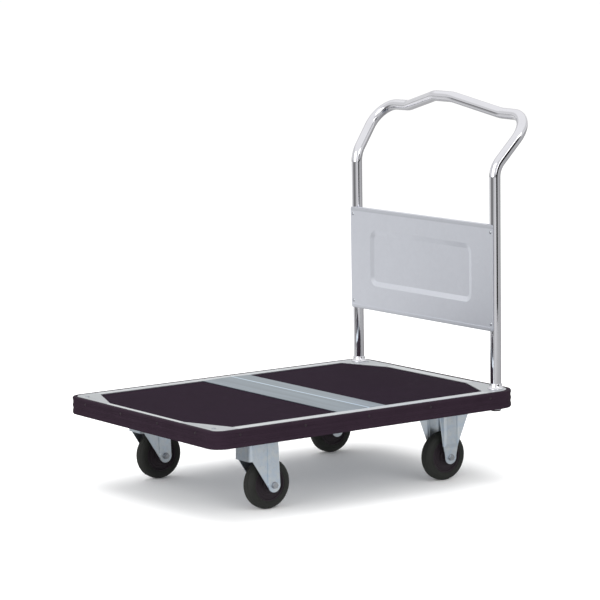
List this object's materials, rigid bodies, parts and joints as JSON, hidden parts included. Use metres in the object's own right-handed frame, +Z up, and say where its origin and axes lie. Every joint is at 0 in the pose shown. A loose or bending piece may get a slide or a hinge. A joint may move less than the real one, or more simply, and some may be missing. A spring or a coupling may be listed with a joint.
{
  "type": "platform trolley",
  "caption": "Flat-bed platform trolley with a bumpered deck, rubber mats, a bent tube handle with a sheet panel, and swivel and fixed casters.",
  "frame": {"origin": "on the floor, under the middle of the whole trolley's length and width", "axes": "+X to the handle end, +Z up, +Y to the right hand of a person who pushes at the handle"},
  "size_m": [0.972, 0.648, 0.93],
  "materials": {
    "frame_steel": "grey stove-enamelled sheet",
    "frame_aluminium": "satin, bright",
    "band": "satin, bluish",
    "mat_rubber": "matt, finely grained",
    "bumper_rubber": "matt moulded",
    "fastener": "bright zinc plated",
    "handle_chrome": "polished",
    "panel_steel": "satin sheet",
    "cap_plastic": "moulded",
    "caster_zinc": "zinc plated pressing",
    "hub_plastic": "moulded, turned rings",
    "tyre_rubber": "matt"
  },
  "bodies": {
    "trolley": {"deck_pan": "frame_steel", "centre_band": "band", "front_mat": "mat_rubber", "rear_mat": "mat_rubber", "left_rail": "frame_aluminium", "right_rail": "frame_aluminium", "front_rail": "frame_aluminium", "rear_rail": "frame_aluminium", "front_left_corner": "frame_aluminium", "front_right_corner": "frame_aluminium", "rear_left_corner": "frame_aluminium", "rear_right_corner": "frame_aluminium", "corner_screws": "fastener", "bumper": "bumper_rubber", "bumper_rivets": "cap_plastic", "left_channel": "frame_steel", "right_channel": "frame_steel", "front_crossbar": "frame_steel", "rear_crossbar": "frame_steel", "caster_bolts": "fastener", "caster_nuts": "fastener", "handle_tube": "handle_chrome", "handle_panel": "panel_steel", "panel_rivets": "fastener", "post_collars": "handle_chrome", "post_caps": "cap_plastic", "post_bolts": "fastener", "left_swivel_plate": "caster_zinc", "left_swivel_kingpin": "fastener", "left_swivel_balls": "fastener", "left_swivel_cup": "caster_zinc", "left_fixed_fork": "caster_zinc", "left_fixed_axle_bolt": "fastener", "left_fixed_axle_nut": "fastener", "left_fixed_sleeve": "fastener", "right_swivel_plate": "caster_zinc", "right_swivel_kingpin": "fastener", "right_swivel_balls": "fastener", "right_swivel_cup": "caster_zinc", "right_fixed_fork": "caster_zinc", "right_fixed_axle_bolt": "fastener", "right_fixed_axle_nut": "fastener", "right_fixed_sleeve": "fastener"},
    "left_swivel": {"left_swivel_fork": "caster_zinc", "left_swivel_axle_bolt": "fastener", "left_swivel_axle_nut": "fastener", "left_swivel_sleeve": "fastener"},
    "left_swivel_wheel": {"left_swivel_hub": "hub_plastic", "left_swivel_tyre": "tyre_rubber"},
    "left_fixed_wheel": {"left_fixed_hub": "hub_plastic", "left_fixed_tyre": "tyre_rubber"},
    "right_swivel": {"right_swivel_fork": "caster_zinc", "right_swivel_axle_bolt": "fastener", "right_swivel_axle_nut": "fastener", "right_swivel_sleeve": "fastener"},
    "right_swivel_wheel": {"right_swivel_hub": "hub_plastic", "right_swivel_tyre": "tyre_rubber"},
    "right_fixed_wheel": {"right_fixed_hub": "hub_plastic", "right_fixed_tyre": "tyre_rubber"}
  },
  "joints": [
    {"name": "left_swivel_turn", "type": "hinge", "parent": "trolley", "child": "left_swivel", "pos_m": [-0.321, -0.232, 0.18], "axis": [0, 0, 1], "continuous": true},
    {"name": "left_swivel_wheel_spin", "type": "hinge", "parent": "left_swivel", "child": "left_swivel_wheel", "pos_m": [-0.283, -0.232, 0.06], "axis": [0, 1, 0], "continuous": true},
    {"name": "left_fixed_wheel_spin", "type": "hinge", "parent": "trolley", "child": "left_fixed_wheel", "pos_m": [0.2435, -0.232, 0.06], "axis": [0, 1, 0], "continuous": true},
    {"name": "right_swivel_turn", "type": "hinge", "parent": "trolley", "child": "right_swivel", "pos_m": [-0.321, 0.232, 0.18], "axis": [0, 0, 1], "continuous": true},
    {"name": "right_swivel_wheel_spin", "type": "hinge", "parent": "right_swivel", "child": "right_swivel_wheel", "pos_m": [-0.283, 0.232, 0.06], "axis": [0, 1, 0], "continuous": true},
    {"name": "right_fixed_wheel_spin", "type": "hinge", "parent": "trolley", "child": "right_fixed_wheel", "pos_m": [0.2435, 0.232, 0.06], "axis": [0, 1, 0], "continuous": true}
  ]
}
